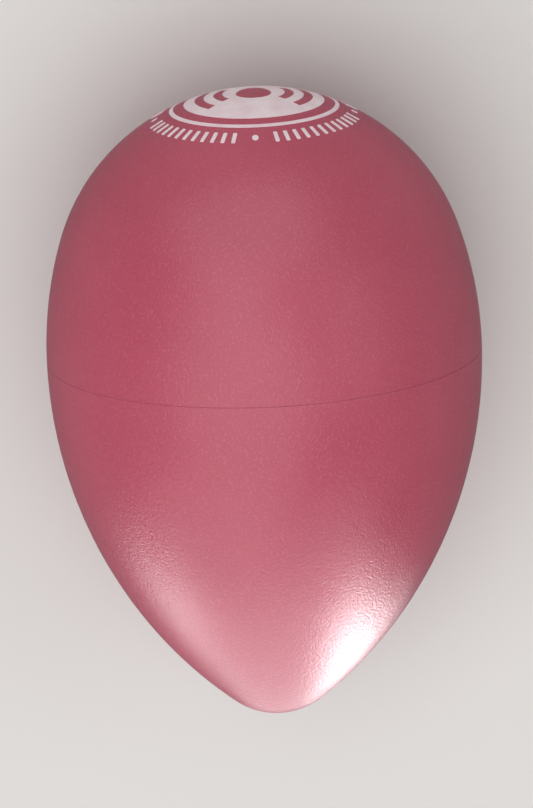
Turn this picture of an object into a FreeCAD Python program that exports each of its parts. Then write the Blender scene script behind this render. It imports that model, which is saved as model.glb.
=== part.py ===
# Egg shaker: a hollow moulded plastic egg, two half shells joined round the
# girth, with loose steel shot sealed inside and a printed badge on the blunt end.
#
# Frame: millimetres, +Z up.  The egg lies on its side, its axis of revolution
# along X, blunt end towards +X, pointed end towards -X.  The origin is on the
# axis, half way between the two ends, so the egg rests on z = -girth_rad.  Each
# piece is drawn with x = 0 in the parting plane, which is also the plane of the
# girth, and its Placement carries it to the frame.
#
# The outline is four tangent arcs: crown (blunt pole), shoulder, flank and nose
# (pointed pole).  The shoulder and flank arcs both stand square to the parting
# plane, so the outline is smooth across the seam.
import FreeCAD, Part
import math
import os

import Sketcher

V = FreeCAD.Vector
Rotation = FreeCAD.Rotation
os.makedirs("parts", exist_ok=True)

doc = FreeCAD.newDocument("egg_shaker")

# --------------------------------------------------------------------------
# Driving dimensions, and the dimensions that follow from them
# --------------------------------------------------------------------------
CELLS = [
    # alias, value or formula, what it is
    ("girth_rad", 21.5, "outside radius at the girth"),
    ("crown_rad", 20.6, "outline arc at the blunt pole"),
    ("shoulder_rad", 38.9, "outline arc from crown to girth"),
    ("flank_rad", 45.8, "outline arc from girth to nose"),
    ("nose_rad", 7.3, "outline arc at the pointed pole"),
    ("wall", 2.2, "shell wall"),
    ("spigot_thick", 1.05, "pointed half's spigot, thickness"),
    ("spigot_len", 2.6, "pointed half's spigot, length past the parting plane"),
    ("spigot_root", 1.0, "how far the spigot runs back into the wall"),
    ("spigot_lead", 0.3, "lead-in chamfer at the spigot's outer rim"),
    ("joint_gap", 0.05, "radial clearance between spigot and rebate"),
    ("rebate_depth", 2.9, "blunt half's rebate, depth from the parting plane"),
    ("rebate_over", 1.0, "how far the rebate's cut reaches into the open cavity"),
    ("seam_chamfer", 0.05, "chamfer on each outer seam edge"),
    ("weld_inner", 19.5, "bond ring, inner radius"),
    ("weld_outer", 20.0, "bond ring, outer radius"),
    ("gate_rad", 0.8, "gate mark at the pointed pole, radius"),
    ("gate_depth", 0.15, "gate mark depth"),
    ("gate_over", 0.5, "how far the gate mark's cut starts outside the pole"),
    ("shot_rad", 2.0, "steel shot radius"),
    ("shot_pitch", 4.1, "spacing of the settled shot, along and across the egg"),
    ("shot_clear", 0.04, "clearance between settled shot and wall"),
    ("shot_count", 45, "number of shot"),
    ("ink_thick", 0.05, "printed ink film"),
    ("badge_rad", 6.9, "printed disc radius"),
    ("ring_inner", 7.95, "printed ring, inner radius"),
    ("ring_outer", 8.35, "printed ring, outer radius"),
    ("icon_base", 1.75, "egg icon, radius of the broad end"),
    ("icon_top", 1.0, "egg icon, radius of the narrow end"),
    ("icon_side", 4.6, "egg icon, radius of the sides"),
    ("icon_gap", 1.75, "egg icon, distance between the two end centres"),
    ("wave_a", 3.5, "first sound arc, middle radius"),
    ("wave_b", 5.35, "second sound arc, middle radius"),
    ("wave_stroke", 0.9, "sound arc stroke"),
    ("wave_span", 80.0, "sound arc span in degrees"),
    ("tick_mid", 9.8, "tick ring, middle radius"),
    ("tick_len", 1.25, "tick length, radial"),
    ("tick_wide", 0.4, "tick width"),
    ("tick_slots", 60, "places round the tick ring: four dots, a gap each side of a dot"),
    ("dot_rad", 0.32, "dot radius"),
    ("art_start", 15.0, "artwork prisms, start from the parting plane"),
    ("art_len", 15.0, "artwork prisms, length, enough to pass the blunt pole"),
    # Cavity outline: the outside, offset inwards by the wall
    ("girth_inside", "=girth_rad - wall", "cavity radius at the girth"),
    ("crown_inside", "=crown_rad - wall", "cavity arc at the blunt pole"),
    ("shoulder_inside", "=shoulder_rad - wall", "cavity arc from crown to girth"),
    ("flank_inside", "=flank_rad - wall", "cavity arc from girth to nose"),
    ("nose_inside", "=nose_rad - wall", "cavity arc at the pointed pole"),
    # Distances from the parting plane; the arc centres follow from tangency
    ("crown_mid", "=sqrt((shoulder_rad - crown_rad)^2 - (shoulder_rad - girth_rad)^2)",
     "distance to the crown arc's centre"),
    ("nose_mid", "=sqrt((flank_rad - nose_rad)^2 - (flank_rad - girth_rad)^2)",
     "distance to the nose arc's centre"),
    ("crown_reach", "=crown_mid + crown_rad", "distance to the blunt pole"),
    ("nose_reach", "=nose_mid + nose_rad", "distance to the pointed pole"),
    ("gate_far", "=nose_reach + gate_over", "distance to the start of the gate cut"),
    ("gate_floor", "=nose_reach - gate_depth", "distance to the gate mark's floor"),
    # The rim of the gate mark is the egg's lowest x, the blunt pole its highest
    ("seam_x", "=(nose_mid + sqrt(nose_rad^2 - gate_rad^2) - crown_reach) / 2",
     "where the parting plane stands in the frame"),
    ("spigot_outer", "=girth_inside + spigot_thick", "spigot outer radius"),
    ("rebate_low", "=girth_inside - rebate_over", "rebate cut, inner radius"),
    ("rebate_high", "=spigot_outer + joint_gap", "rebate cut, outer radius"),
    ("shot_inset", "=wall + shot_rad + shot_clear", "outside surface to shot centre"),
    ("icon_drop", "=icon_gap * 0.45", "egg icon, axis to the broad end's centre"),
    ("icon_rise", "=icon_gap * 0.55", "egg icon, axis to the narrow end's centre"),
]
sheet = doc.addObject("Spreadsheet::Sheet", "Sheet")
sheet.set("A1", "dimension")
sheet.set("B1", "value")
sheet.set("C1", "note")
for row, (alias, value, note) in enumerate(CELLS, start=2):
    sheet.set(f"A{row}", alias)
    sheet.set(f"B{row}", str(value))
    sheet.set(f"C{row}", note)
    sheet.setAlias(f"B{row}", alias)
doc.recompute()


def cell(alias):
    return float(sheet.get(alias))


# --------------------------------------------------------------------------
# Sketches
# --------------------------------------------------------------------------
# Sketcher's numbers for the points of an edge and for the sketch's own axes
START, END, CENTRE = 1, 2, 3
X_AXIS, Y_AXIS = -1, -2
ORIGIN = (X_AXIS, START)
Constraint = Sketcher.Constraint


def line(start, end):
    return Part.LineSegment(V(*start, 0), V(*end, 0))


def arc(x, y, radius, start, end):
    """An arc counter-clockwise from start to end, in degrees."""
    circle = Part.Circle(V(x, y, 0), V(0, 0, 1), radius)
    return Part.ArcOfCircle(circle, math.radians(start), math.radians(end))


def dimension(sketch, alias, kind, *where):
    """Add a dimension driven by one sheet cell."""
    name = f"{kind}_{alias}"
    index = sketch.addConstraint(Constraint(kind, *where, cell(alias)))
    sketch.renameConstraint(index, name)
    sketch.setExpression(f"Constraints.{name}", f"Sheet.{alias}")


def new_sketch(body, name):
    sketch = body.newObject("Sketcher::SketchObject", name)
    plane = [f for f in body.Origin.OriginFeatures if f.Role == "XY_Plane"][0]
    sketch.AttachmentSupport = [(plane, "")]
    sketch.MapMode = "FlatFace"
    return sketch


def polygon(body, name, points, level, upright):
    """Closed polygon; level and upright list its horizontal and vertical edges."""
    sketch = new_sketch(body, name)
    count = len(points)
    for k in range(count):
        sketch.addGeometry(line(points[k], points[(k + 1) % count]), False)
    sketch.addConstraint(
        [Constraint("Coincident", k, END, (k + 1) % count, START) for k in range(count)]
        + [Constraint("Horizontal", k) for k in level]
        + [Constraint("Vertical", k) for k in upright]
    )
    return sketch


def rectangle(body, name, left, right, low, high, side=1):
    """Rectangle in the (x, radius) half plane.

    Each limit is the alias of its distance from the axis, or None for a limit
    on the axis.  side is +1 for positive x and -1 for negative x.
    """
    x0, x1, y0, y1 = (cell(alias) if alias else 0.0 for alias in (left, right, low, high))
    x0, x1 = side * x0, side * x1
    points = [(x0, y0), (x1, y0), (x1, y1), (x0, y1)]
    sketch = polygon(body, name, points, level=(0, 2), upright=(1, 3))
    for alias, kind, edge, sign, axis in (
        (left, "DistanceX", 0, side, Y_AXIS),
        (right, "DistanceX", 1, side, Y_AXIS),
        (low, "DistanceY", 0, 1, X_AXIS),
        (high, "DistanceY", 2, 1, X_AXIS),
    ):
        corner = (edge, START)
        if alias is None:
            sketch.addConstraint(Constraint("PointOnObject", *corner, axis))
        elif sign > 0:
            dimension(sketch, alias, kind, *ORIGIN, *corner)
        else:
            dimension(sketch, alias, kind, *corner, *ORIGIN)
    return sketch


def outline(body, name, side, middle, pole_arc, side_arc, girth):
    """Closed half outline from the parting plane to one pole.

    side is +1 for the blunt half and -1 for the pointed half; the rest are
    aliases of the pole arc's centre distance and of the three radii.
    """
    pole_rad, side_rad, girth_rad = cell(pole_arc), cell(side_arc), cell(girth)
    pole_x = side * cell(middle)
    side_y = girth_rad - side_rad
    join = math.degrees(math.atan2(-side_y, pole_x))  # direction of the tangent point
    # The arcs run counter-clockwise, so their ends swap between the two halves
    first, last = (START, END) if side > 0 else (END, START)

    sketch = new_sketch(body, name)
    axis, pole, flank, seam = range(4)
    sketch.addGeometry(line((0, 0), (pole_x + side * pole_rad, 0)), False)
    sketch.addGeometry(arc(pole_x, 0, pole_rad, *sorted((90 - 90 * side, join))), False)
    sketch.addGeometry(arc(0, side_y, side_rad, *sorted((join, 90))), False)
    sketch.addGeometry(line((0, girth_rad), (0, 0)), False)
    sketch.addConstraint([
        Constraint("Coincident", axis, START, *ORIGIN),
        Constraint("Horizontal", axis),
        Constraint("Coincident", seam, END, *ORIGIN),
        Constraint("Vertical", seam),
        Constraint("Coincident", axis, END, pole, first),
        Constraint("PointOnObject", pole, CENTRE, X_AXIS),
        Constraint("Tangent", pole, last, flank, first),
        Constraint("Coincident", flank, last, seam, START),
        Constraint("PointOnObject", flank, CENTRE, Y_AXIS),
    ])
    dimension(sketch, pole_arc, "Radius", pole)
    dimension(sketch, side_arc, "Radius", flank)
    dimension(sketch, girth, "Distance", seam)
    return sketch


# --------------------------------------------------------------------------
# Bodies and turned features
# --------------------------------------------------------------------------
def new_body(label):
    body = doc.addObject("PartDesign::Body", label)
    body.Label = label
    body.Placement = FreeCAD.Placement(V(cell("seam_x"), 0, 0), Rotation())
    body.setExpression("Placement.Base.x", "Sheet.seam_x")
    return body


def revolve(body, name, sketch, kind="PartDesign::Revolution"):
    feature = body.newObject(kind, name)
    feature.Profile = sketch
    feature.ReferenceAxis = (sketch, ["H_Axis"])
    feature.Angle = 360.0
    body.Tip = feature
    doc.recompute()
    return feature


def groove(body, name, sketch):
    before = body.Shape.Volume
    feature = revolve(body, name, sketch, "PartDesign::Groove")
    if not feature.Shape.Volume < before - 1e-3:
        raise RuntimeError(f"{name} cut nothing")
    return feature


def seam_edges(shape):
    """Names of the outer circles of the seam, at x = 0 in the body's own frame."""
    found = []
    for number, edge in enumerate(shape.Edges, start=1):
        if edge.Degenerated:  # a dome's pole
            continue
        box = edge.BoundBox
        in_plane = abs(box.XMin) < 1e-4 and abs(box.XMax) < 1e-4
        if in_plane and abs(box.ZMax - cell("girth_rad")) < 1e-3:
            found.append(f"Edge{number}")
    if not found:
        raise RuntimeError("no seam edge to chamfer")
    return found


def chamfer_seam(body, name, base):
    chamfer = body.newObject("PartDesign::Chamfer", name)
    chamfer.Base = (base, seam_edges(base.Shape))
    chamfer.setExpression("Size", "Sheet.seam_chamfer")
    body.Tip = chamfer
    doc.recompute()


# --------------------------------------------------------------------------
# Blunt half shell: outer dome, cavity, rebate for the spigot, seam chamfer
# --------------------------------------------------------------------------
def make_blunt_half():
    body = new_body("shell_blunt_half")
    revolve(body, "blunt_dome", outline(
        body, "blunt_outline", 1, "crown_mid", "crown_rad", "shoulder_rad", "girth_rad"))
    groove(body, "blunt_cavity", outline(
        body, "blunt_cavity_outline", 1,
        "crown_mid", "crown_inside", "shoulder_inside", "girth_inside"))
    rebate = groove(body, "spigot_rebate", rectangle(
        body, "rebate_profile", None, "rebate_depth", "rebate_low", "rebate_high"))
    chamfer_seam(body, "blunt_seam_chamfer", rebate)
    return body


# --------------------------------------------------------------------------
# Pointed half shell: outer dome, cavity, spigot, gate mark, seam chamfer
# --------------------------------------------------------------------------
def spigot_profile(body):
    inner, outer = cell("girth_inside"), cell("spigot_outer")
    root, reach, lead = cell("spigot_root"), cell("spigot_len"), cell("spigot_lead")
    points = [
        (-root, inner), (reach, inner), (reach, outer - lead),
        (reach - lead, outer), (-root, outer),
    ]
    sketch = polygon(body, "spigot_profile", points, level=(0, 3), upright=(1, 4))
    bottom, lead_in, top = 0, 2, 3
    dimension(sketch, "spigot_root", "DistanceX", bottom, START, *ORIGIN)
    dimension(sketch, "spigot_len", "DistanceX", *ORIGIN, bottom, END)
    dimension(sketch, "girth_inside", "DistanceY", *ORIGIN, bottom, START)
    dimension(sketch, "spigot_outer", "DistanceY", *ORIGIN, top, START)
    dimension(sketch, "spigot_lead", "DistanceX", lead_in, END, lead_in, START)
    dimension(sketch, "spigot_lead", "DistanceY", lead_in, START, lead_in, END)
    return sketch


def make_pointed_half():
    body = new_body("shell_pointed_half")
    revolve(body, "pointed_dome", outline(
        body, "pointed_outline", -1, "nose_mid", "nose_rad", "flank_rad", "girth_rad"))
    groove(body, "pointed_cavity", outline(
        body, "pointed_cavity_outline", -1,
        "nose_mid", "nose_inside", "flank_inside", "girth_inside"))
    revolve(body, "spigot", spigot_profile(body))
    gate = groove(body, "gate_mark", rectangle(
        body, "gate_profile", "gate_far", "gate_floor", None, "gate_rad", side=-1))
    chamfer_seam(body, "pointed_seam_chamfer", gate)
    return body


# --------------------------------------------------------------------------
# Bond ring: the bead of melt or cement that holds the halves together, between
# the spigot's rim and the shoulder of the rebate
# --------------------------------------------------------------------------
def make_bond_ring():
    body = new_body("seam_bond_ring")
    revolve(body, "weld_ring", rectangle(
        body, "weld_profile", "spigot_len", "rebate_depth", "weld_inner", "weld_outer"))
    return body


# --------------------------------------------------------------------------
# Steel shot, settled along the lowest side of the cavity, each resting on the
# wall under it
# --------------------------------------------------------------------------
def centre_radius(x):
    """Distance from the axis to the centre of a shot touching the wall at x.

    It is 0 beyond the ends of the cavity.
    """
    middle, pole_arc, side_arc = (
        ("crown_mid", "crown_rad", "shoulder_rad") if x >= 0
        else ("nose_mid", "nose_rad", "flank_rad"))
    middle, pole_rad, side_rad = cell(middle), cell(pole_arc), cell(side_arc)
    pole_track = pole_rad - cell("shot_inset")
    side_track = side_rad - cell("shot_inset")
    join = side_track * middle / (side_rad - pole_rad)
    if abs(x) <= join:
        return cell("girth_rad") - side_rad + math.sqrt(side_track ** 2 - x * x)
    return math.sqrt(max(pole_track ** 2 - (abs(x) - middle) ** 2, 0.0))


def shot_sites():
    """Shot centres (x, y, z), x from the parting plane, from the blunt end on.

    Seen from above, the shot stand in stations along the egg, spaced a pitch
    apart both ways.  Every other station is set over by half a pitch, so the
    shot nest.  The lowest places fill first.
    """
    pitch = cell("shot_pitch")
    last_station = math.ceil(cell("nose_reach") / pitch)
    last_step = math.ceil(cell("girth_rad") / (pitch / 2))
    sites = []
    for station in range(-last_station, last_station + 1):
        x = station * pitch
        radius = centre_radius(x)
        for step in range(-last_step, last_step + 1):
            y = step * pitch / 2
            if (step + station) % 2 == 0 and abs(y) < radius:
                sites.append((x, y, round(-math.sqrt(radius * radius - y * y), 6)))
    sites.sort(key=lambda site: (site[2], abs(site[1]), site[1], site[0]))
    lowest = sites[:int(cell("shot_count"))]
    return sorted(lowest, key=lambda site: (-site[0], site[1]))


def make_shot():
    shot = []
    for number, (x, y, z) in enumerate(shot_sites(), start=1):
        ball = doc.addObject("Part::Sphere", f"shot_{number:02d}")
        ball.Label = f"shot_{number:02d}"
        ball.setExpression("Radius", "Sheet.shot_rad")
        ball.Placement = FreeCAD.Placement(V(cell("seam_x") + x, y, z), Rotation())
        shot.append(ball)
    doc.recompute()
    return shot


# --------------------------------------------------------------------------
# Printed end badge: an ink film on the crown.  A spherical skin over the crown
# is kept only where the artwork, run along X, covers it.
# --------------------------------------------------------------------------
ALONG_X = Rotation(V(0, 1, 0), 90)  # turns a primitive's +Z to +X
MIN_MARK_VOLUME = 1e-4  # anything smaller is a sliver, not a printed mark


def crown_sphere(name, radius):
    sphere = doc.addObject("Part::Sphere", name)
    sphere.setExpression("Radius", radius)
    sphere.setExpression("Placement.Base.x", "Sheet.crown_mid")
    return sphere


def art_cylinder(name, radius, y=0, z=0, rotation=ALONG_X):
    """Cylinder along X through the crown; radius is an expression."""
    cylinder = doc.addObject("Part::Cylinder", name)
    cylinder.setExpression("Radius", radius)
    cylinder.setExpression("Height", "Sheet.art_len")
    cylinder.Placement = FreeCAD.Placement(V(cell("art_start"), y, z), rotation)
    return cylinder


def cut(name, base, tool):
    result = doc.addObject("Part::Cut", name)
    result.Base = base
    result.Tool = tool
    return result


def icon_sketch():
    """Egg outline of four tangent arcs.

    The sketch's X is the frame's -Y and its Y the frame's -Z, so the narrow end
    points down.
    """
    base, top, side = cell("icon_base"), cell("icon_top"), cell("icon_side")
    base_y, top_y = -cell("icon_drop"), cell("icon_rise")
    # The right side's centre lies left of the icon's axis, at the distances
    # from the two end centres that tangency gives
    to_base, to_top = side - base, side - top
    side_y = (to_base ** 2 - to_top ** 2 - base_y ** 2 + top_y ** 2) / (2 * (top_y - base_y))
    side_x = -math.sqrt(to_base ** 2 - (side_y - base_y) ** 2)
    low = math.degrees(math.atan2(base_y - side_y, -side_x))  # tangent point, broad end
    high = math.degrees(math.atan2(top_y - side_y, -side_x))  # tangent point, narrow end

    sketch = doc.addObject("Sketcher::SketchObject", "icon_outline")
    sketch.Placement = FreeCAD.Placement(
        V(cell("art_start"), 0, 0),
        Rotation(V(0, -1, 0), V(0, 0, -1), V(1, 0, 0), "ZXY"))
    broad, right, narrow, left = range(4)
    sketch.addGeometry(arc(0, base_y, base, 180 - low, 360 + low), False)
    sketch.addGeometry(arc(side_x, side_y, side, low, high), False)
    sketch.addGeometry(arc(0, top_y, top, high, 180 - high), False)
    sketch.addGeometry(arc(-side_x, side_y, side, 180 - high, 180 - low), False)
    sketch.addConstraint([
        Constraint("Tangent", broad, END, right, START),
        Constraint("Tangent", right, END, narrow, START),
        Constraint("Tangent", narrow, END, left, START),
        Constraint("Tangent", left, END, broad, START),
        Constraint("PointOnObject", broad, CENTRE, Y_AXIS),
        Constraint("PointOnObject", narrow, CENTRE, Y_AXIS),
        Constraint("Equal", right, left),
    ])
    dimension(sketch, "icon_base", "Radius", broad)
    dimension(sketch, "icon_top", "Radius", narrow)
    dimension(sketch, "icon_side", "Radius", right)
    dimension(sketch, "icon_drop", "DistanceY", broad, CENTRE, *ORIGIN)
    dimension(sketch, "icon_rise", "DistanceY", *ORIGIN, narrow, CENTRE)
    return sketch


def icon_egg():
    egg = doc.addObject("Part::Extrusion", "icon_egg")
    egg.Base = icon_sketch()
    egg.DirMode = "Custom"
    egg.Dir = V(1, 0, 0)
    egg.setExpression("LengthFwd", "Sheet.art_len")
    egg.Solid = True
    return egg


def sound_arc(alias, side, middle):
    """Ring sector centred on the direction middle, in degrees from -Z towards +Y."""
    spin = Rotation(V(0, 0, 1), middle - cell("wave_span") / 2)
    outer = art_cylinder(f"{alias}_{side}_outer", f"Sheet.{alias} + Sheet.wave_stroke / 2",
                         rotation=ALONG_X.multiply(spin))
    outer.setExpression("Angle", "Sheet.wave_span")
    inner = art_cylinder(f"{alias}_{side}_inner", f"Sheet.{alias} - Sheet.wave_stroke / 2")
    return cut(f"{alias}_{side}", outer, inner)


def badge_art():
    """Disc with the egg icon and its sound arcs left clear.

    Left is +Y and right is -Y, as seen from +X with the icon's narrow end up.
    """
    disc = art_cylinder("badge_disc", "Sheet.badge_rad")
    clear = [icon_egg()]
    for alias in ("wave_a", "wave_b"):
        for side, middle in (("left", 90.0), ("right", -90.0)):
            clear.append(sound_arc(alias, side, middle))
    icon = doc.addObject("Part::MultiFuse", "icon_tool")
    icon.Shapes = clear
    return cut("badge_art", disc, icon)


def ring_art():
    outer = art_cylinder("ring_outer_disc", "Sheet.ring_outer")
    inner = art_cylinder("ring_inner_disc", "Sheet.ring_inner")
    return cut("ring_art", outer, inner)


def tick_art(number, turn):
    """Radial bar on the tick ring."""
    tick = doc.addObject("Part::Box", f"tick_{number:02d}")
    tick.setExpression("Length", "Sheet.art_len")
    tick.setExpression("Width", "Sheet.tick_wide")
    tick.setExpression("Height", "Sheet.tick_len")
    corner = turn.multVec(
        V(0, -cell("tick_wide") / 2, cell("tick_mid") - cell("tick_len") / 2))
    tick.Placement = FreeCAD.Placement(V(cell("art_start"), corner.y, corner.z), turn)
    return tick


def tick_ring():
    """Ticks with a dot at each quarter, counted from +Z, and a gap beside each dot."""
    slots = int(cell("tick_slots"))
    quarter = slots // 4
    pieces = []
    for k in range(slots):
        turn = Rotation(V(1, 0, 0), 360.0 * k / slots)
        if k % quarter in (1, quarter - 1):
            continue
        if k % quarter == 0:
            at = turn.multVec(V(0, 0, cell("tick_mid")))
            pieces.append(art_cylinder(f"dot_{k:02d}", "Sheet.dot_rad", at.y, at.z))
        else:
            pieces.append(tick_art(k, turn))
    return pieces


def make_end_print():
    skin = cut("ink_skin",
               crown_sphere("ink_outer", "Sheet.crown_rad + Sheet.ink_thick"),
               crown_sphere("ink_inner", "Sheet.crown_rad"))
    art = [badge_art(), ring_art()] + tick_ring()
    doc.recompute()

    # The skin is cut piece by piece, so that each mark is a solid of its own
    marks = []
    for piece in art:
        for solid in piece.Shape.Solids:
            film = skin.Shape.common(solid)
            marks += [mark for mark in film.Solids if mark.Volume > MIN_MARK_VOLUME]
    end_print = doc.addObject("Part::Feature", "end_print")
    end_print.Label = "end_print"
    end_print.Shape = Part.makeCompound(marks)
    end_print.Placement = FreeCAD.Placement(V(cell("seam_x"), 0, 0), Rotation())
    doc.recompute()
    return end_print


# --------------------------------------------------------------------------
# Build, check and export
# --------------------------------------------------------------------------
pieces = [make_blunt_half(), make_pointed_half(), make_bond_ring()]
pieces += make_shot()
pieces.append(make_end_print())

for obj in doc.Objects:
    if "Invalid" in obj.State or "Error" in obj.State:
        raise RuntimeError(f"{obj.Label} failed: {obj.State}")
for obj in pieces:
    if obj.Shape.isNull() or not obj.Shape.isValid() or not obj.Shape.Solids:
        raise RuntimeError(f"{obj.Label} has no valid shape")

# A lower shot count must not leave files of an earlier run behind
for old in os.listdir("parts"):
    if old.endswith(".step"):
        os.remove(os.path.join("parts", old))
for obj in pieces:
    obj.Shape.exportStep(f"parts/{obj.Label}.step")
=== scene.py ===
"""Egg shaker: a hollow plastic egg in two halves, with a printed badge and steel shot.

The egg lies along X, centred on Y = Z = 0: blunt end towards +X, pointed end
towards -X. Its parting plane is square to X. Drawn sizes are in mm, with x
measured from the parting plane; the scene is in metres.
"""
import math

import bpy
import numpy as np
from mathutils import Matrix, Vector
from mathutils.geometry import delaunay_2d_cdt


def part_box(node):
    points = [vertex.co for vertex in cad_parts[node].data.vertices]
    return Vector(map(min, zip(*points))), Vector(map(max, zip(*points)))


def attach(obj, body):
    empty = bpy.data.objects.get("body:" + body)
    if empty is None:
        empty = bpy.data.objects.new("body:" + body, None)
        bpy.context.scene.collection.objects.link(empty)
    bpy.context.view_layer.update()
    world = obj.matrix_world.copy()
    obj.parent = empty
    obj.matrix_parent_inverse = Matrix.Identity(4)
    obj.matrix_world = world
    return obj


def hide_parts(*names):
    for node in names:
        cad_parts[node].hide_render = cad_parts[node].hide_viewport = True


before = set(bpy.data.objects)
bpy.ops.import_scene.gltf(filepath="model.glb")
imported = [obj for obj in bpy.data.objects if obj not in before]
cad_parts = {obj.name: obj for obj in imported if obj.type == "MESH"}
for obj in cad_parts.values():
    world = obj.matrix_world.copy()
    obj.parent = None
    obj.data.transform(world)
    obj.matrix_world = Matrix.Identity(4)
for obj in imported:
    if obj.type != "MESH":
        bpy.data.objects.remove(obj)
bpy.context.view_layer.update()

MM = 0.001

# Outline: radii of four tangent arcs. Crown and shoulder make the blunt half,
# nose and flank the pointed one; both meet at the girth, on the parting plane.
GIRTH_R, CROWN_R, SHOULDER_R, FLANK_R, NOSE_R = 21.5, 20.6, 38.9, 45.8, 7.3
WALL = 2.2
CROWN_X = math.sqrt((SHOULDER_R - CROWN_R) ** 2 - (SHOULDER_R - GIRTH_R) ** 2)
NOSE_X = -math.sqrt((FLANK_R - NOSE_R) ** 2 - (FLANK_R - GIRTH_R) ** 2)
SEAM_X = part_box("shell_blunt_half")[0].x / MM  # parting plane in the frame
SEGMENTS = 192

# Gate mark: a shallow round recess at the nose's pole
GATE_R, GATE_DEPTH, GATE_TAPER, GATE_ROUND = 0.8, 0.15, 0.04, 0.03
GATE_MARGIN = 0.02  # outline points this close to the recess are left out

# Joint: a spigot on the pointed half enters a rebate in the blunt half
SPIGOT_IN = GIRTH_R - WALL
SPIGOT_OUT = SPIGOT_IN + 1.05
SPIGOT_LEN, LEAD = 2.6, 0.3
REBATE_R, REBATE_DEPTH = SPIGOT_OUT + 0.05, 2.9
SEAM_BREAK = 0.04  # break on each outer seam edge
EDGE_ROUND = 0.012


# --------------------------------------------------------------------------
# Outlines and meshes
# --------------------------------------------------------------------------
def arc_points(centre_x, centre_y, radius, start, end, step):
    """Points along an arc, start and end in degrees, at most step degrees apart."""
    count = max(2, int(math.ceil(abs(end - start) / step)) + 1)
    points = []
    for k in range(count):
        angle = math.radians(start + (end - start) * k / (count - 1))
        points.append((centre_x + radius * math.cos(angle), centre_y + radius * math.sin(angle)))
    return points


def half_outline(side, offset, start_x):
    """One half's outline, set in by offset, from start_x to its pole; side is +1 or -1."""
    end_x, end_r, side_r = (
        (CROWN_X, CROWN_R, SHOULDER_R) if side > 0 else (NOSE_X, NOSE_R, FLANK_R))
    side_y = GIRTH_R - side_r
    end_r, side_r = end_r - offset, side_r - offset
    tangent = math.degrees(math.atan2(-side_y, end_x))
    begin = math.degrees(math.acos(start_x / side_r))
    side_arc = arc_points(0.0, side_y, side_r, begin, tangent, step=1.2)
    if offset == 0.0:  # close rings beside the seam keep its shading from spreading
        near = [start_x + side * distance for distance in (0.05, 0.12, 0.3)]
        side_arc[1:1] = [(x, side_y + math.sqrt(side_r * side_r - x * x)) for x in near]
    pole = 0.0 if side > 0 else 180.0
    end_arc = arc_points(end_x, 0.0, end_r, tangent, pole, step=2.0)
    return side_arc + end_arc[1:]


def rounded(points, radius, steps=2):
    """A polyline with its inner corners rounded, for moulded edges."""
    out = [points[0]]
    for before, corner, after in zip(points, points[1:], points[2:]):
        before, corner, after = Vector(before), Vector(corner), Vector(after)
        back, ahead = before - corner, after - corner
        reach = min(radius, back.length * 0.45, ahead.length * 0.45)
        start = corner + back.normalized() * reach
        end = corner + ahead.normalized() * reach
        for k in range(steps + 1):
            t = k / steps
            out.append(tuple((1 - t) ** 2 * start + 2 * t * (1 - t) * corner + t * t * end))
    out.append(points[-1])
    return out


def blunt_profile():
    outer = half_outline(+1, 0.0, SEAM_BREAK)
    inner = half_outline(+1, WALL, REBATE_DEPTH)
    lip = [
        (0.0, GIRTH_R - SEAM_BREAK),
        (0.0, REBATE_R),
        (REBATE_DEPTH, REBATE_R),
        inner[0],
    ]
    joint = rounded([outer[1], outer[0], *lip], EDGE_ROUND)
    return outer[:1:-1] + joint + inner[1:]


def pointed_profile():
    outer = [p for p in half_outline(-1, 0.0, -SEAM_BREAK) if p[1] > GATE_R + GATE_MARGIN]
    inner = half_outline(-1, WALL, 0.0)
    rim_x = NOSE_X - math.sqrt(NOSE_R ** 2 - GATE_R ** 2)
    recess_x = NOSE_X - NOSE_R + GATE_DEPTH
    gate = rounded(
        [outer[-1], (rim_x, GATE_R), (recess_x, GATE_R - GATE_TAPER), (recess_x, 0.0)],
        GATE_ROUND)
    spigot = [
        (0.0, GIRTH_R - SEAM_BREAK),
        (0.0, SPIGOT_OUT),
        (SPIGOT_LEN - LEAD, SPIGOT_OUT),
        (SPIGOT_LEN, SPIGOT_OUT - LEAD),
        (SPIGOT_LEN, SPIGOT_IN),
        (0.0, SPIGOT_IN),
    ]
    joint = rounded([outer[1], outer[0], *spigot], EDGE_ROUND)
    return gate[::-1][:-1] + outer[:1:-1] + joint + inner[1:]


def add_object(name, data):
    obj = bpy.data.objects.new(name, data)
    bpy.context.scene.collection.objects.link(obj)
    return obj


def smooth_solid(name, verts, faces, sharp_angle):
    """A closed mesh object facing outwards, smooth but for edges over sharp_angle degrees."""
    mesh = bpy.data.meshes.new(name)
    mesh.from_pydata(verts, [], faces)
    mesh.validate()
    volume = sum(
        mesh.vertices[p.vertices[0]].co.dot(p.normal) * p.area for p in mesh.polygons
    )
    if volume < 0:
        mesh.flip_normals()
    mesh.polygons.foreach_set("use_smooth", [True] * len(mesh.polygons))
    mesh.set_sharp_from_angle(angle=math.radians(sharp_angle))
    mesh.update()
    return add_object(name, mesh)


def revolve(name, profile):
    """A closed solid from an (x, radius) profile that starts and ends on the axis."""
    verts, rings = [], []
    for x, radius in profile:
        first = len(verts)
        if radius < 1e-6:
            verts.append(((x + SEAM_X) * MM, 0.0, 0.0))
        else:
            for k in range(SEGMENTS):
                angle = 2 * math.pi * k / SEGMENTS
                verts.append(((x + SEAM_X) * MM, radius * MM * math.sin(angle),
                              radius * MM * math.cos(angle)))
        rings.append(range(first, len(verts)))
    faces = []
    for low, high in zip(rings, rings[1:]):
        for k in range(SEGMENTS):
            j = (k + 1) % SEGMENTS
            if len(low) == 1:
                faces.append((low[0], high[j], high[k]))
            elif len(high) == 1:
                faces.append((low[k], low[j], high[0]))
            else:
                faces.append((low[k], low[j], high[j], high[k]))
    return smooth_solid(name, verts, faces, sharp_angle=28)


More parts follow.
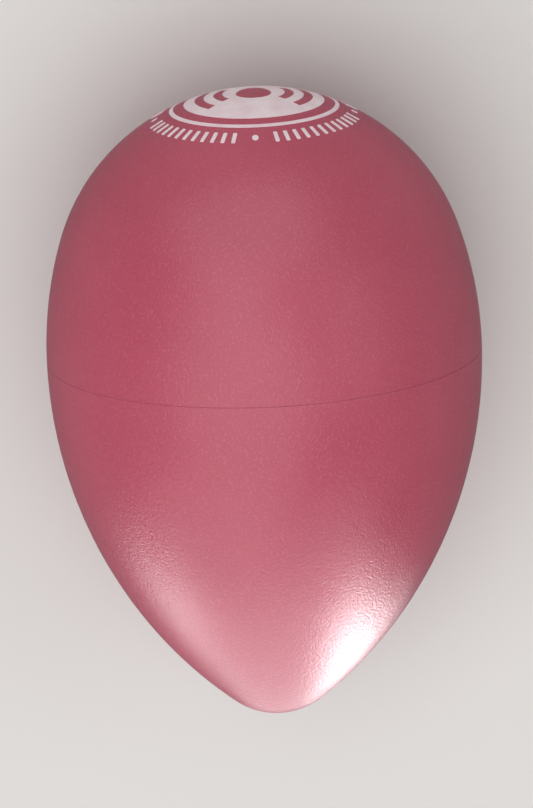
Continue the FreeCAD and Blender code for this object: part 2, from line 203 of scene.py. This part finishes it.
# --------------------------------------------------------------------------
# Node helpers
# --------------------------------------------------------------------------
def srgb(*channels):
    """8-bit display colour to linear."""
    out = []
    for c in channels:
        c /= 255.0
        out.append(c / 12.92 if c <= 0.04045 else ((c + 0.055) / 1.055) ** 2.4)
    return (*out, 1.0)


def grey(v):
    return (v, v, v, 1.0)


class Graph:
    """Adds nodes to a tree. A node's inputs may be plain values or other sockets."""

    def __init__(self, tree):
        self.nodes, self.links = tree.nodes, tree.links

    def feed(self, socket, value):
        if hasattr(value, "links"):
            self.links.new(value, socket)
        else:
            socket.default_value = value

    def add(self, kind, inputs=None, **settings):
        node = self.nodes.new("ShaderNode" + kind)
        for key, value in settings.items():
            setattr(node, key, value)
        for key, value in (inputs or {}).items():
            if value is not None:
                self.feed(node.inputs[key], value)
        return node

    def ramp(self, fac, stops):
        """Colour ramp through (position, colour) stops."""
        node = self.add("ValToRGB", {"Fac": fac})
        elements = node.color_ramp.elements
        while len(elements) > 1:
            elements.remove(elements[-1])
        elements[0].position, elements[0].color = stops[0]
        for position, colour in stops[1:]:
            elements.new(position).color = colour
        return node.outputs["Color"]

    def mix_colour(self, fac, a, b):
        return self.add("Mix", {0: fac, 6: a, 7: b}, data_type="RGBA").outputs[2]

    def math(self, operation, a, b=0.0, clamp=False):
        return self.add("Math", {0: a, 1: b}, operation=operation, use_clamp=clamp).outputs[0]

    def times(self, a, b):
        return self.math("MULTIPLY", a, b)

    def vector(self, operation, a, b=None, result="Vector"):
        return self.add("VectorMath", {0: a, 1: b}, operation=operation).outputs[result]

    def step(self, value, low, high):
        """0 at low, 1 at high, smooth between; low may be above high."""
        inputs = {"From Min": low, "From Max": high, "Value": value}
        return self.add("MapRange", inputs, interpolation_type="SMOOTHSTEP").outputs["Result"]

    def hump(self, value, centre, width):
        """1 at centre, falling smoothly to 0 at width either side."""
        offset = self.math("ABSOLUTE", self.math("SUBTRACT", value, centre))
        return self.step(offset, low=width, high=0.0)

    def coords(self):
        return self.add("TexCoord").outputs["Object"]

    def camera_ray(self):
        return self.add("LightPath").outputs["Is Camera Ray"]


class Material(Graph):
    """A new Principled material whose textures follow object coordinates."""

    def __init__(self, name):
        self.data = bpy.data.materials.new(name)
        self.data.use_nodes = True
        super().__init__(self.data.node_tree)
        self.bsdf = self.nodes["Principled BSDF"]
        self.at = self.coords()

    def set(self, name, value):
        self.feed(self.bsdf.inputs[name], value)

    def noise(self, scale, detail=3.0, rough=0.55):
        inputs = {"Scale": scale, "Detail": detail, "Roughness": rough, "Vector": self.at}
        return self.add("TexNoise", inputs).outputs["Fac"]

    def grey_noise(self, scale, detail, low, high):
        """Noise spread between two grey levels."""
        return self.ramp(self.noise(scale, detail), [(0.3, grey(low)), (0.7, grey(high))])

    def bump(self, height, strength, distance, normal=None):
        inputs = {"Strength": strength, "Distance": distance, "Height": height, "Normal": normal}
        return self.add("Bump", inputs).outputs["Normal"]


# --------------------------------------------------------------------------
# Materials
# --------------------------------------------------------------------------
def shell_material():
    """Satin rose-red plastic, as new from the mould: fine spark-eroded grain,
    faint flow mottling and pigment speckle."""
    mat = Material("rose_plastic")
    # colour: slow mottling and fine pigment speckle
    mottling = mat.ramp(mat.noise(scale=60.0), [
        (0.32, srgb(180, 77, 97)), (0.55, srgb(184, 81, 101)), (0.75, srgb(188, 86, 106))])
    speck = mat.ramp(mat.noise(scale=4600.0, detail=0.0), [(0.56, grey(0.0)), (0.78, grey(0.30))])
    mat.set("Base Color", mat.mix_colour(speck, mottling, srgb(207, 114, 131)))
    # roughness: a fine variation over a slow one, from the mould's polish
    fine = mat.grey_noise(scale=900.0, detail=2.0, low=0.292, high=0.335)
    polish = mat.grey_noise(scale=70.0, detail=2.0, low=-0.014, high=0.014)
    mat.set("Roughness", mat.math("ADD", fine, polish, clamp=True))
    # grain: spark-erosion texture of two sizes, over very slight sink and flow
    coarse_weight, fine_weight = 0.85, 0.4
    grain = mat.math("ADD", mat.times(mat.noise(scale=3400.0, detail=1.0), coarse_weight),
                     mat.times(mat.noise(scale=6200.0, detail=1.0), fine_weight))
    sink = mat.bump(mat.noise(scale=190.0, detail=2.0), strength=0.06, distance=0.00010)
    mat.set("Normal", mat.bump(grain, strength=0.9, distance=0.00005, normal=sink))
    mat.set("IOR", 1.5)
    mat.set("Subsurface Weight", 0.16)
    mat.set("Subsurface Radius", (1.0, 0.35, 0.25))
    mat.set("Subsurface Scale", 0.0012)
    return mat.data


def ink_material():
    """White pad ink, thin enough in places for the plastic to tint it."""
    mat = Material("white_ink")
    film_tint = mat.ramp(mat.noise(scale=520.0, rough=0.5), [
        (0.30, srgb(232, 208, 213)), (0.55, srgb(238, 219, 223)), (0.75, srgb(242, 228, 230))])
    pinholes = mat.ramp(mat.noise(scale=6200.0, detail=1.0), [(0.20, grey(1.0)), (0.26, grey(0.0))])
    pinhole_strength = 0.4
    mat.set("Base Color", mat.mix_colour(
        mat.times(pinholes, pinhole_strength), film_tint, srgb(212, 130, 146)))
    mat.set("Roughness", mat.grey_noise(scale=1500.0, detail=2.0, low=0.42, high=0.58))
    mat.set("Normal", mat.bump(mat.noise(scale=2600.0), strength=0.3, distance=0.00001))
    return mat.data


def steel_material():
    """Tumbled steel: bright, finely pitted, with faint brown bloom."""
    mat = Material("tumbled_steel")
    mat.set("Base Color", mat.ramp(mat.noise(scale=420.0, detail=4.0, rough=0.6), [
        (0.35, (0.56, 0.56, 0.57, 1)), (0.6, (0.44, 0.43, 0.42, 1)),
        (0.75, (0.34, 0.28, 0.22, 1))]))
    mat.set("Metallic", 1.0)
    mat.set("Roughness", mat.grey_noise(scale=1800.0, detail=3.0, low=0.16, high=0.38))
    pits = mat.noise(scale=4200.0, detail=2.0)
    mat.set("Normal", mat.bump(pits, strength=0.35, distance=0.00001))
    return mat.data


def bond_material():
    """Plastic that has been melted and set again: glossier, a little darker."""
    mat = Material("melted_bond")
    mat.set("Base Color", mat.ramp(mat.noise(scale=260.0), [
        (0.3, srgb(158, 48, 70)), (0.7, srgb(184, 66, 88))]))
    mat.set("Roughness", mat.grey_noise(scale=700.0, detail=2.0, low=0.14, high=0.32))
    mat.set("Normal", mat.bump(mat.noise(scale=800.0), strength=0.6, distance=0.00004))
    return mat.data


def paint(obj, mat):
    obj.data.materials.clear()
    obj.data.materials.append(mat)


# --------------------------------------------------------------------------
# Printed badge: flat artwork laid on the crown as a thin closed film
# --------------------------------------------------------------------------
INK_TOP, INK_UNDER = 0.045, -0.03  # film faces, above and below the crown's surface
DISC_R = 6.9
WAVE_RADII, WAVE_STROKE, WAVE_SPAN = (3.5, 5.35), 0.9, 80.0  # span in degrees
RING_OUT, RING_IN = 8.35, 7.95
TICK_R, TICK_LEN, TICK_WIDE, TICK_ROUND = 9.8, 1.25, 0.4, 0.08
DOT_R = 0.32
SLOTS = 60
QUARTER = SLOTS // 4


def circle(radius, count, x=0.0, y=0.0):
    return [(x + radius * math.cos(2 * math.pi * k / count),
             y + radius * math.sin(2 * math.pi * k / count)) for k in range(count)]


def egg_icon():
    """An upright egg of four tangent arcs."""
    base_r, top_r, side_r, gap = 1.75, 1.0, 4.6, 1.75
    base_y, top_y = -0.45 * gap, 0.55 * gap
    to_base, to_top = side_r - base_r, side_r - top_r
    side_y = (to_base ** 2 - to_top ** 2 - base_y ** 2 + top_y ** 2) / (2 * (top_y - base_y))
    side_x = -math.sqrt(to_base ** 2 - (base_y - side_y) ** 2)
    low = math.degrees(math.atan2(base_y - side_y, -side_x))
    high = math.degrees(math.atan2(top_y - side_y, -side_x))
    points = arc_points(0, base_y, base_r, 180 - low, 360 + low, step=6)[:-1]
    points += arc_points(side_x, side_y, side_r, low, high, step=3)[:-1]
    points += arc_points(0, top_y, top_r, high, 180 - high, step=8)[:-1]
    points += arc_points(-side_x, side_y, side_r, 180 - high, 180 - low, step=3)[:-1]
    return points


def sound_wave(radius, centre):
    """A stroke bent about the badge's centre, as a closed outline."""
    start, end = centre - WAVE_SPAN / 2, centre + WAVE_SPAN / 2
    return (arc_points(0, 0, radius + WAVE_STROKE / 2, start, end, step=3.0)
            + arc_points(0, 0, radius - WAVE_STROKE / 2, end, start, step=3.0))


def tick(cosine, sine):
    """A radial bar with rounded corners, turned to its place on the tick circle."""
    half_len, half_wide, corners = TICK_LEN / 2, TICK_WIDE / 2, []
    for sx, sy, start in ((-1, -1, 180), (1, -1, 270), (1, 1, 0), (-1, 1, 90)):
        corners += arc_points(sx * (half_len - TICK_ROUND), sy * (half_wide - TICK_ROUND),
                              TICK_ROUND, start, start + 90, step=30)
    return [(cosine * (TICK_R + x) - sine * y, sine * (TICK_R + x) + cosine * y)
            for x, y in corners]


def inside(point, outline):
    x, y = point
    hit = False
    for (x0, y0), (x1, y1) in zip(outline, outline[1:] + outline[:1]):
        if (y0 > y) != (y1 > y) and x < (x1 - x0) * (y - y0) / (y1 - y0) + x0:
            hit = not hit
    return hit


def add_film(verts, faces, outer, holes, spacing):
    """Adds one printed mark to verts and faces, as a closed film on the crown."""
    loops = [outer, *holes]

    def printed(point):
        return inside(point, outer) and not any(inside(point, hole) for hole in holes)

    flat, edges = [], []
    for loop in loops:
        start = len(flat)
        flat += [Vector(p) for p in loop]
        edges += [(start + k, start + (k + 1) % len(loop)) for k in range(len(loop))]
    # staggered rows of points fill the mark, clear of its rims
    rims = [np.array(loop) for loop in loops]
    xs, ys = zip(*outer)
    row, y = 0, min(ys)
    while y <= max(ys):
        x = min(xs) + (spacing / 2 if row % 2 else 0.0)
        while x <= max(xs):
            if printed((x, y)):
                near = min(np.min(np.hypot(rim[:, 0] - x, rim[:, 1] - y)) for rim in rims)
                if near > spacing * 0.45:
                    flat.append(Vector((x, y)))
            x += spacing
        y += spacing * 0.866
        row += 1
    cdt = delaunay_2d_cdt(flat, edges, [], 0, 1e-6)
    points, triangles = cdt[0], cdt[2]
    kept = []
    for tri in triangles:
        if printed(sum((Vector(points[i]) for i in tri), Vector((0, 0))) / len(tri)):
            kept.append(tri)
    used = sorted({i for tri in kept for i in tri})
    top = {i: len(verts) + k for k, i in enumerate(used)}
    below = len(used)  # from a top vertex to the one under it
    for lift in (INK_TOP, INK_UNDER):
        for i in used:
            u, v = points[i]
            radius = CROWN_R + lift
            x = CROWN_X + math.sqrt(radius * radius - u * u - v * v)
            # seen from +X, the artwork's right is the frame's -Y, its top -Z
            verts.append(((x + SEAM_X) * MM, -u * MM, -v * MM))
    directed = {}  # an ordered set of triangle edges
    for tri in kept:
        a, b, c = (top[i] for i in tri)
        faces.append((a, b, c))
        faces.append((below + c, below + b, below + a))
        directed.update(dict.fromkeys(((a, b), (b, c), (c, a))))
    for a, b in directed:
        if (b, a) not in directed:  # a rim edge, closed by a wall
            faces.append((b, a, below + a, below + b))


def build_badge():
    verts, faces = [], []
    cut_outs = [egg_icon()]
    for radius in WAVE_RADII:
        for centre in (0.0, 180.0):
            cut_outs.append(sound_wave(radius, centre))
    add_film(verts, faces, circle(DISC_R, 140), cut_outs, spacing=0.42)
    add_film(verts, faces, circle(RING_OUT, 180), [circle(RING_IN, 176)], spacing=0.3)
    # a circle of ticks, with a dot between two gaps at each quarter
    for k in range(SLOTS):
        if k % QUARTER in (1, QUARTER - 1):
            continue
        angle = 2 * math.pi * k / SLOTS + math.pi / 2
        cosine, sine = math.cos(angle), math.sin(angle)
        if k % QUARTER == 0:
            dot = circle(DOT_R, 24, TICK_R * cosine, TICK_R * sine)
            add_film(verts, faces, dot, [], spacing=0.16)
        else:
            add_film(verts, faces, tick(cosine, sine), [], spacing=0.2)
    return smooth_solid("printed_badge", verts, faces, sharp_angle=40)


# --------------------------------------------------------------------------
# Build the egg
# --------------------------------------------------------------------------
plastic, ink, steel, bond = shell_material(), ink_material(), steel_material(), bond_material()

looks = []
for name, profile, node in (
    ("blunt_shell_half", blunt_profile(), "shell_blunt_half"),
    ("pointed_shell_half", pointed_profile(), "shell_pointed_half"),
):
    half = revolve(name, profile)
    paint(half, plastic)
    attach(half, "shell")
    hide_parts(node)
    looks.append(half)

badge = build_badge()
paint(badge, ink)
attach(badge, "shell")
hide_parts("end_print")
looks.append(badge)

# the shot and the bond ring keep their CAD shapes
for name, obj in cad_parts.items():
    if name.startswith("shot_"):
        paint(obj, steel)
    elif name == "seam_bond_ring":
        paint(obj, bond)

# --------------------------------------------------------------------------
# Stage: metres from here on. In the camera's view up is +X and right is -Y.
# --------------------------------------------------------------------------
FLOOR_Z = -GIRTH_R * MM
FLOOR_R, FLOOR_SIDES = 3.2, 96
BACKDROP = (0.76, 0.758, 0.75, 1)
AMBIENT = (0.175, 0.175, 0.18, 1)  # the room, as it lights the scene
CAMERA_LEAN, CAMERA_ROLL = math.radians(15.0), math.radians(2.4)
CAMERA_DISTANCE, VIEW_WIDTH, SENSOR_MM = 0.65, 0.0800, 36.0
TO_CAMERA = Vector((math.sin(CAMERA_LEAN), 0, math.cos(CAMERA_LEAN)))
scene = bpy.context.scene


def floor_material():
    """Pale floor that the camera sees fade into the backdrop, with no horizon."""
    mat = Material("pale_floor")
    mat.set("Base Color", mat.ramp(mat.noise(scale=9.0), [
        (0.3, srgb(231, 229, 226)), (0.7, srgb(236, 234, 231))]))
    mat.set("Roughness", 0.62)
    reach = mat.vector("LENGTH", mat.coords(), result="Value")
    fade = mat.times(mat.step(reach, low=0.10, high=0.85), mat.camera_ray())
    glow = mat.add("Emission", {"Color": BACKDROP})
    blend = mat.add("MixShader", {0: fade, 1: mat.bsdf.outputs[0], 2: glow.outputs[0]})
    mat.feed(mat.nodes["Material Output"].inputs["Surface"], blend.outputs[0])
    return mat.data


def build_floor():
    mesh = bpy.data.meshes.new("floor")
    rim = [(FLOOR_R * math.cos(2 * math.pi * k / FLOOR_SIDES),
            FLOOR_R * math.sin(2 * math.pi * k / FLOOR_SIDES), FLOOR_Z)
           for k in range(FLOOR_SIDES)]
    mesh.from_pydata([(0, 0, FLOOR_Z), *rim], [],
                     [(0, 1 + k, 1 + (k + 1) % FLOOR_SIDES) for k in range(FLOOR_SIDES)])
    obj = add_object("floor", mesh)
    mesh.materials.append(floor_material())
    obj.visible_glossy = False  # the shell mirrors the room, not the floor
    return obj


def set_world():
    scene.world = bpy.data.worlds.new("studio")
    scene.world.use_nodes = True
    graph = Graph(scene.world.node_tree)
    background = graph.nodes["Background"]
    background.inputs["Strength"].default_value = 1.0
    colour = graph.mix_colour(graph.camera_ray(), AMBIENT, BACKDROP)
    graph.feed(background.inputs["Color"], colour)
    scene.view_settings.view_transform = "Standard"
    scene.view_settings.look = "None"


def area_light(name, direction, location, size, power, receivers=None):
    """A rectangle shining against direction, on the receivers' collection or on all."""
    light = bpy.data.lights.new(name, "AREA")
    light.shape = "RECTANGLE"
    light.size, light.size_y = size
    light.energy = power
    obj = add_object(name, light)
    obj.location = location
    obj.rotation_euler = Vector(direction).to_track_quat("Z", "Y").to_euler()
    obj.visible_camera = False
    if receivers:
        obj.light_linking.receiver_collection = receivers
    return obj


def softbox(name, direction, distance, size, power, receivers=None):
    """An area light aimed at the origin."""
    away = Vector(direction).normalized()
    area_light(name, away, away * distance, size, power, receivers)


def receiver_set(name, objects):
    collection = bpy.data.collections.new(name)
    for obj in objects:
        collection.objects.link(obj)
    return collection


def nose_pattern(graph, incoming):
    """Strength by the way light leaves: a haze, brighter on the left, and a hot
    band on the right with a sharp outer edge."""
    haze_gain, lobe_gain, hot_gain = 2.8, 5.5, 16.0
    top_slope = 0.38  # how fast the haze's top drops to either side
    times, step, hump = graph.times, graph.step, graph.hump
    way = graph.add("SeparateXYZ", {0: incoming}).outputs
    # degrees to the left of the egg's line, and degrees up, as the nose sees them
    left = times(graph.math("ARCTAN2", times(way["Y"], -1.0), way["X"]), 180 / math.pi)
    up = times(graph.math("ARCSINE", way["Z"]), -180 / math.pi)
    slope = times(graph.math("ABSOLUTE", left), top_slope)
    top = step(graph.math("ADD", up, slope), low=27.0, high=7.0)
    foot = step(up, low=-60.0, high=-30.0)
    right_edge = step(left, low=-34.0, high=-31.0)
    dark_rim = times(step(left, low=12.0, high=24.0), step(up, low=-27.0, high=-33.0))
    haze = times(times(top, foot), times(step(left, low=52.0, high=42.0), right_edge))
    haze = times(times(haze, graph.math("SUBTRACT", 1.0, dark_rim)), haze_gain)
    lobe = times(hump(left, centre=36.0, width=16.0), hump(up, centre=-9.0, width=15.0))
    lobe = times(lobe, lobe_gain)
    hot = times(times(step(left, low=-15.0, high=-27.0), step(up, low=6.0, high=-6.0)),
                times(step(up, low=-60.0, high=-20.0), right_edge))
    hot = times(hot, hot_gain)
    return graph.math("ADD", graph.math("ADD", haze, lobe), hot)


def camera_aim(graph, incoming, position):
    """1 for rays that the smooth outline would send on to the camera, else 0.
    The normal halfway between ray and camera gives the one point of the outline
    that does so, and the ray has to pass close to it."""
    math_node, times, vector = graph.math, graph.times, graph.vector
    half = vector("NORMALIZE", vector("SUBTRACT", tuple(TO_CAMERA), incoming))
    nx, ny, nz = graph.add("SeparateXYZ", {0: half}).outputs
    across = math_node("SQRT", math_node("ADD", times(ny, ny), times(nz, nz)))
    # the normal falls on the nose arc or on the flank arc
    on_nose = math_node("LESS_THAN", nx, NOSE_X / (FLANK_R - NOSE_R))
    arc_r = math_node("ADD", times(on_nose, (NOSE_R - FLANK_R) * MM), FLANK_R * MM)
    arc_y = times(math_node("SUBTRACT", 1.0, on_nose), (GIRTH_R - FLANK_R) * MM)
    arc_x = math_node("ADD", times(on_nose, NOSE_X * MM), SEAM_X * MM)
    out = math_node("DIVIDE", math_node("ADD", arc_y, times(arc_r, across)), across)
    point = graph.add("CombineXYZ", {
        0: math_node("ADD", arc_x, times(arc_r, nx)), 1: times(out, ny), 2: times(out, nz)})
    miss = vector("CROSS_PRODUCT", vector("SUBTRACT", point.outputs[0], position), incoming)
    return graph.step(vector("LENGTH", miss, result="Value"), low=0.012, high=0.006)


def nose_card(name, direction, size, location):
    """A card seen by nothing but the shell's gloss, for the reflection on the nose."""
    obj = area_light(name, direction, location, size, math.pi * size[0] * size[1], egg_only)
    obj.visible_diffuse = False
    obj.data.use_nodes = True
    graph = Graph(obj.data.node_tree)
    geometry = graph.add("NewGeometry").outputs
    pattern = nose_pattern(graph, geometry["Incoming"])
    aim = camera_aim(graph, geometry["Incoming"], geometry["Position"])
    graph.feed(graph.nodes["Emission"].inputs["Strength"], graph.times(pattern, aim))


def add_camera():
    data = bpy.data.cameras.new("camera")
    camera = add_object("camera", data)
    up = Vector((math.cos(CAMERA_LEAN), 0, -math.sin(CAMERA_LEAN)))
    right = up.cross(TO_CAMERA)
    turn = Matrix.Rotation(-CAMERA_ROLL, 3, TO_CAMERA)
    axes = Matrix((turn @ right, turn @ up, TO_CAMERA)).transposed()
    camera.matrix_world = Matrix.Translation(TO_CAMERA * CAMERA_DISTANCE) @ axes.to_4x4()
    data.sensor_width = SENSOR_MM
    data.lens = SENSOR_MM * CAMERA_DISTANCE / VIEW_WIDTH
    data.clip_end = 20.0
    scene.camera = camera


floor = build_floor()
set_world()
egg_only = receiver_set("egg_only", [*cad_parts.values(), *looks])
softbox("panel_overhead", direction=(-0.20, 0.22, 1.0), distance=1.1, size=(1.4, 1.4), power=8.5)
softbox("fill_right", direction=(0.1, -1.0, 0.9), distance=1.4, size=(0.9, 0.7), power=1.5)
softbox("panel_far", direction=(-1.0, 0.08, 0.45), distance=0.85, size=(1.8, 0.6), power=4.6,
        receivers=egg_only)
softbox("panel_near", direction=(1.0, 0.15, 0.78), distance=0.95, size=(1.4, 0.95), power=4.8,
        receivers=egg_only)
nose_card("nose_floor", direction=(0, 0, -1), size=(0.264, 0.40),
          location=(-0.168, 0.0, FLOOR_Z + 0.0003))
nose_card("nose_back", direction=(-1, 0, 0), size=(0.70, 0.185),
          location=(-0.300, 0.0, FLOOR_Z + 0.0930))
# an even wash for the floor alone
softbox("floor_wash", direction=(0.0, 0.0, 1.0), distance=1.6, size=(3.0, 3.0), power=11.5,
        receivers=receiver_set("stage_only", [floor]))
add_camera()
